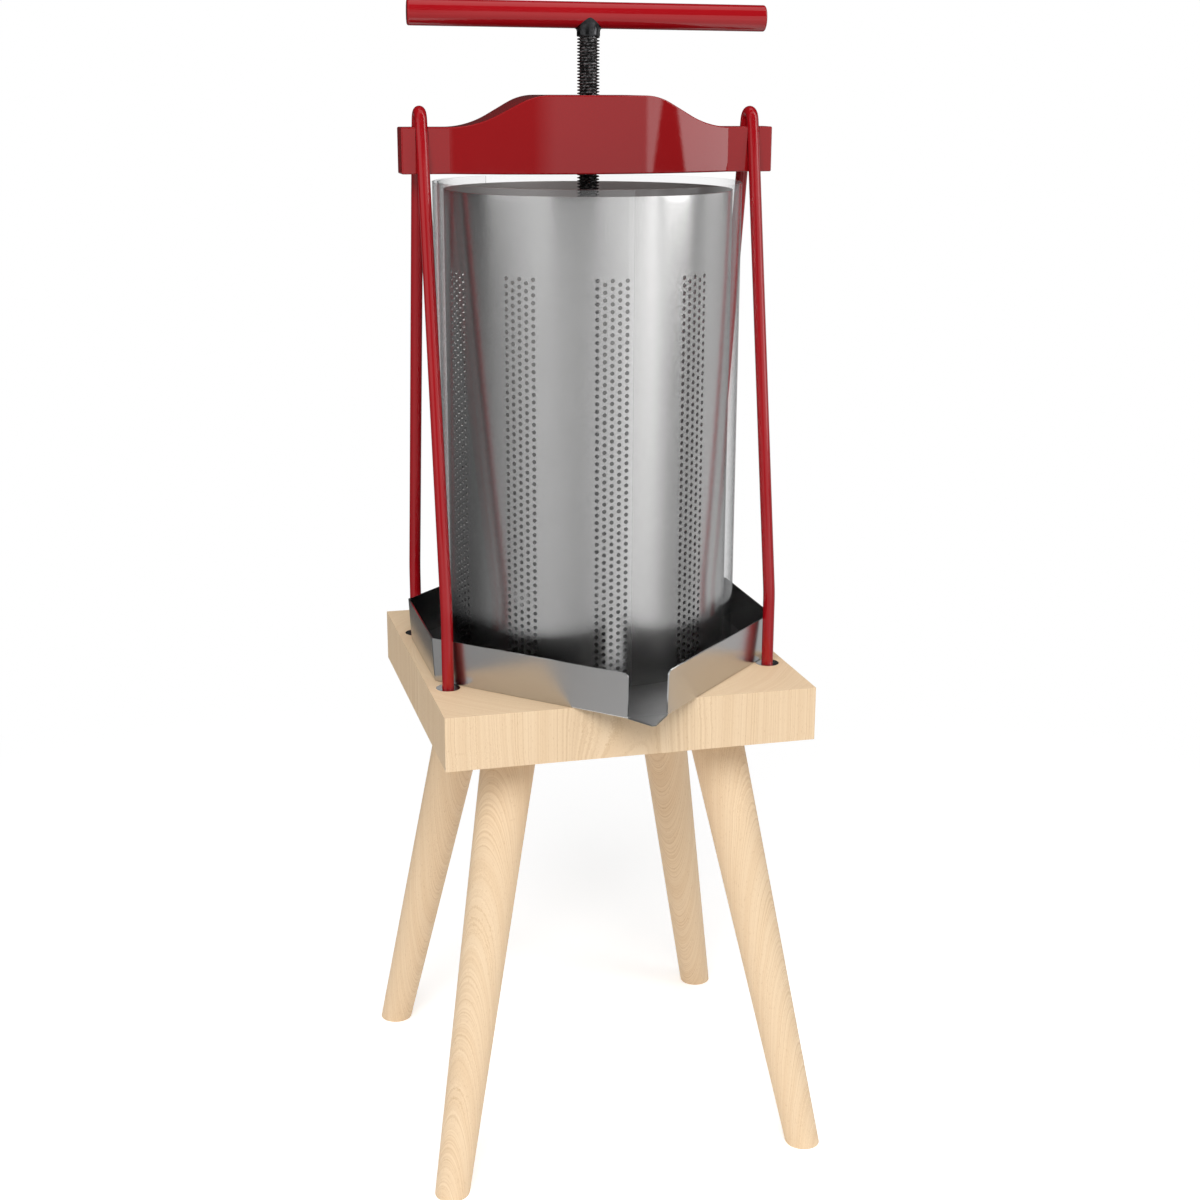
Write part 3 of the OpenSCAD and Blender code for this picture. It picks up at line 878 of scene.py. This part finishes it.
# The studio
def tent():
    """Pale and dark panels round the object, which nothing but its shine sees."""
    inner_r, outer_r, base, top = 0.7, 1.9, 0.002, 2.4
    points, faces = lathe([(inner_r, base), (outer_r, base), (outer_r, top), (0.75, top)],
                          caps=False)
    mesh = raw_mesh("tent", points, faces)
    obj = add("tent", mesh)
    obj.visible_camera = obj.visible_diffuse = False
    obj.visible_transmission = obj.visible_shadow = False
    p = Paint("tent")
    p.material.cycles.emission_sampling = "NONE"
    where = p.node("SeparateXYZ")
    p.link(p.place(), where.inputs[0])
    x, y, z = where.outputs
    turn = p.math("ARCTAN2", x, p.math("MULTIPLY", y, -1.0))
    turn = p.math("MULTIPLY", turn, math.degrees(1))

    # Degrees by which the panels' edges lean, from one angle on and from a second one on
    slant = p.math("MULTIPLY", p.span(z, -1.9, 1.9, 0.75, 0.89),
                   p.math("GREATER_THAN", turn, 35.0))
    slant = p.math("MULTIPLY_ADD", p.span(z, 4.1, -4.1, 0.75, 0.89),
                   p.math("GREATER_THAN", turn, 43.0), slant)
    peak = 3.6

    def levels(value, *stops):
        """Brightness round the tent, from degrees and levels."""
        return p.ramp(p.span(value, 0.0, 1.0, -180.0, 180.0),
                      *(((a + 180) / 360, grey(v / peak)) for a, v in stops))

    def above(under, over, start, end):
        """One row of panels under another, blending from the height start to the height end."""
        return p.mix("MIX", p.span(z, 0.0, 1.0, start, end), under, over)

    foot = levels(turn, (-180, .15), (-150, .08), (-116, .09), (-103, .17), (-90, .32),
                  (-75, .37), (-66, .50), (-52, .60), (-38, .58), (-20, .47), (-5, .60),
                  (6, .75), (24, .86), (38, .76), (50, .42), (61, .34), (74, .38), (90, .60),
                  (112, .56), (135, .36), (155, .2), (180, .15))
    low = levels(turn, (-180, .22), (-168, .15), (-115, .16), (-90, .30), (-68, .54),
                 (-52, .76), (-38, .71), (-20, .60), (0, .80), (24, 1.16), (36, 1.40),
                 (50, .62), (60, .42), (70, .40), (90, .66), (112, .54), (135, .32),
                 (155, .22), (180, .22))
    brim = levels(turn, (-180, .22), (-150, .20), (-115, .19), (-90, .28), (-68, .66),
                  (-52, .90), (-38, .86), (-20, .76), (0, .90), (24, 1.30), (38, 1.80),
                  (46, 1.05), (52, .15), (62, .04), (70, .25), (90, .66), (112, .54),
                  (135, .32), (155, .22), (180, .22))
    middle = levels(p.math("SUBTRACT", turn, slant), (-180, .03), (-100, .03), (-94, .92),
                    (-41.5, .92), (-39.5, .16), (-10, .17), (-2, .90), (33, .90), (33.8, 2.6),
                    (37, 2.6), (37.6, .10), (46.6, .10), (47.5, 3.3), (69, 3.5), (72, .30),
                    (84, .30), (88, .80), (114, .80), (120, .05), (180, .03))
    high = levels(turn, (-180, .04), (-95, .04), (-90, .50), (-45, .50), (-40, .06),
                  (40, .06), (43, 3.4), (69, 3.4), (73, .04), (180, .04))
    panels = above(foot, low, 0.0, 0.45)
    panels = above(panels, brim, 0.45, 0.70)
    panels = above(panels, middle, 0.735, 0.745)
    panels = above(panels, high, 1.47, 1.53)
    p.surface(p.emission(peak, panels))
    mesh.materials.append(p.material)


def floor():
    """A pale floor that takes the shadow near the object and fades into the white background."""
    size, fade_start, fade_end, lift = 30, 0.45, 1.25, 0.36
    corners = [(-size, -size, 0), (size, -size, 0), (size, size, 0), (-size, size, 0)]
    mesh = raw_mesh("floor", corners, [(0, 1, 2, 3)])
    obj = add("floor", mesh)
    p = Paint("floor")
    p.set(Base_Color=(0.96, 0.96, 0.96, 1), Roughness=1.0, Specular_IOR_Level=0.0)
    seen = p.seen("Is Camera Ray", "Is Glossy Ray")
    near = p.node("AddShader")
    p.link(p.shader.outputs[0], near.inputs[0])
    p.link(p.emission(p.span(seen, 0.0, lift)), near.inputs[1])
    both = p.node("MixShader")
    p.link(p.span(p.far(p.place()), 0.0, 1.0, fade_start, fade_end,
                  interpolation_type="SMOOTHSTEP"), both.inputs[0])
    p.link(near.outputs[0], both.inputs[1])
    p.link(p.emission(p.span(seen, ambient, 1.0)), both.inputs[2])
    p.surface(both.outputs[0])
    mesh.materials.append(p.material)


camera()
world()
floor()
tent()
lamp("key", (1.8, -1.4, 1.9), (0, 0, 0.6), (1.1, 1.6), 11)
lamp("front", (-0.7, -2.0, 2.2), (0, 0, 0.5), (2.0, 1.2), 51)
lamp("fill", (-2.3, -0.9, 1.5), (0, 0, 0.6), (0.7, 1.6), 4)
lamp("top", (0.1, 0.3, 2.8), (0, 0, 0.7), (1.4, 1.4), 6)

red = red_enamel("red_enamel", (0.32, 0.003, 0.007), (0.35, 0.005, 0.009), 0.06)
cast_red = red_enamel("red_casting", (0.27, 0.004, 0.006), (0.29, 0.006, 0.008), 0.02)
steel = satin_steel("satin_steel", (0.58, 0.575, 0.57), (0.62, 0.615, 0.61), 0.24, along=0.5)
# The basket's inner skin: the same sheet as the outside, painted darker for the shade inside the
# basket, and rougher and less metallic
inner_steel_painted_shade = satin_steel("inner_steel_painted_shade", (0.50, 0.49, 0.48), (0.54, 0.53, 0.52), 0.45, 0.4)
sheet = satin_steel("tray_steel", (0.54, 0.535, 0.53), (0.58, 0.575, 0.57), 0.24)
# The tray's floor and lip: the same sheet as the walls, painted much darker, which is painted shade
# on the floor
tray_floor_painted_shade = satin_steel("tray_floor_painted_shade", grey(0.16), grey(0.20), 0.34, 0.85)
# The sheet's cut edges: lighter steel, a painted highlight along the edges
cut_edge_painted_highlight = satin_steel("cut_edge_painted_highlight", grey(0.74), grey(0.80), 0.20)
zinc = satin_steel("zinc_steel", grey(0.58), grey(0.66), 0.14)
black = black_steel("black_steel", (0.040, 0.040, 0.042), (0.060, 0.060, 0.062), 1.0, 0.03)
# The thread's black steel, with pale noise flecks on the crests: painted glints
black_painted_glints = black_steel("black_painted_glints", grey(0.010), (0.19, 0.19, 0.192), 0.6, 0.6)
brass = bronze()
clear = clear_film("clear_film", (0.95, 0.96, 0.97), 0.035, 0.10)
film_edge = clear_film("film_edge", (0.90, 0.92, 0.93), 0.45, 0.30)
beech = wood()

legs(beech)
stirrups(red)
yoke(cast_red)
thread(black_painted_glints)
shank(black)
journal(black)
handle(red)
basket(steel, inner_steel_painted_shade)
guard(clear, film_edge)
tray(sheet, tray_floor_painted_shade, cut_edge_painted_highlight)
finish_nodes({"seat_board": beech, "rod_discs": zinc, "rod_washers": zinc, "rod_nuts": zinc,
              "yoke_bush": brass, "press_plate": steel, "plate_hub": steel, "hub_fork": zinc,
              "fork_screws": zinc})

bpy.context.scene.view_settings.view_transform = "Standard"
